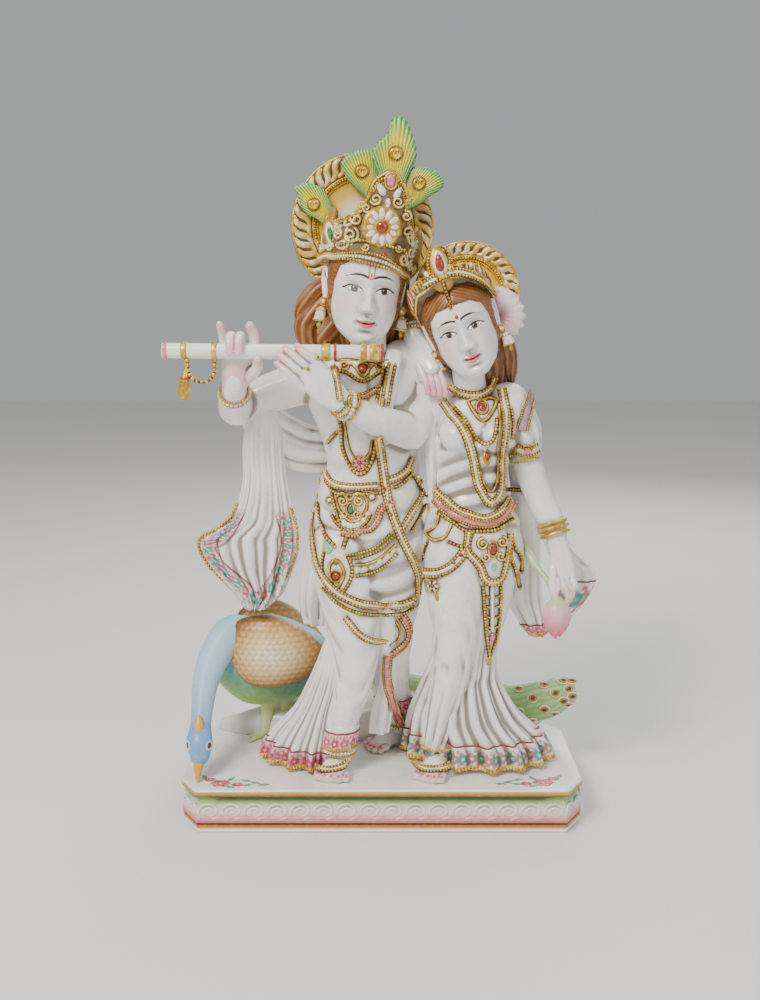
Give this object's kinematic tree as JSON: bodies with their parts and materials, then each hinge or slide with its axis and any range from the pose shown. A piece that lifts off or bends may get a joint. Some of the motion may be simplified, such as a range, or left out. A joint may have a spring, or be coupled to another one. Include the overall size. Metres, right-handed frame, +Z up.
{
  "type": "radha krishna statue",
  "caption": "Carved and painted marble group of a flute player and a companion standing close together, with a peacock, on a moulded plinth with cut corners.",
  "frame": {"origin": "centre of the plinth's underside", "axes": "+Z up, +X along the plinth's front edge, to the right of someone who faces the statue, +Y from its front to its back"},
  "size_m": [0.3766, 0.165, 0.6083],
  "materials": {
    "marble": "polished white marble, painted and gilded"
  },
  "bodies": {
    "root": {"radha_krishna_statue": "marble"}
  },
  "joints": []
}
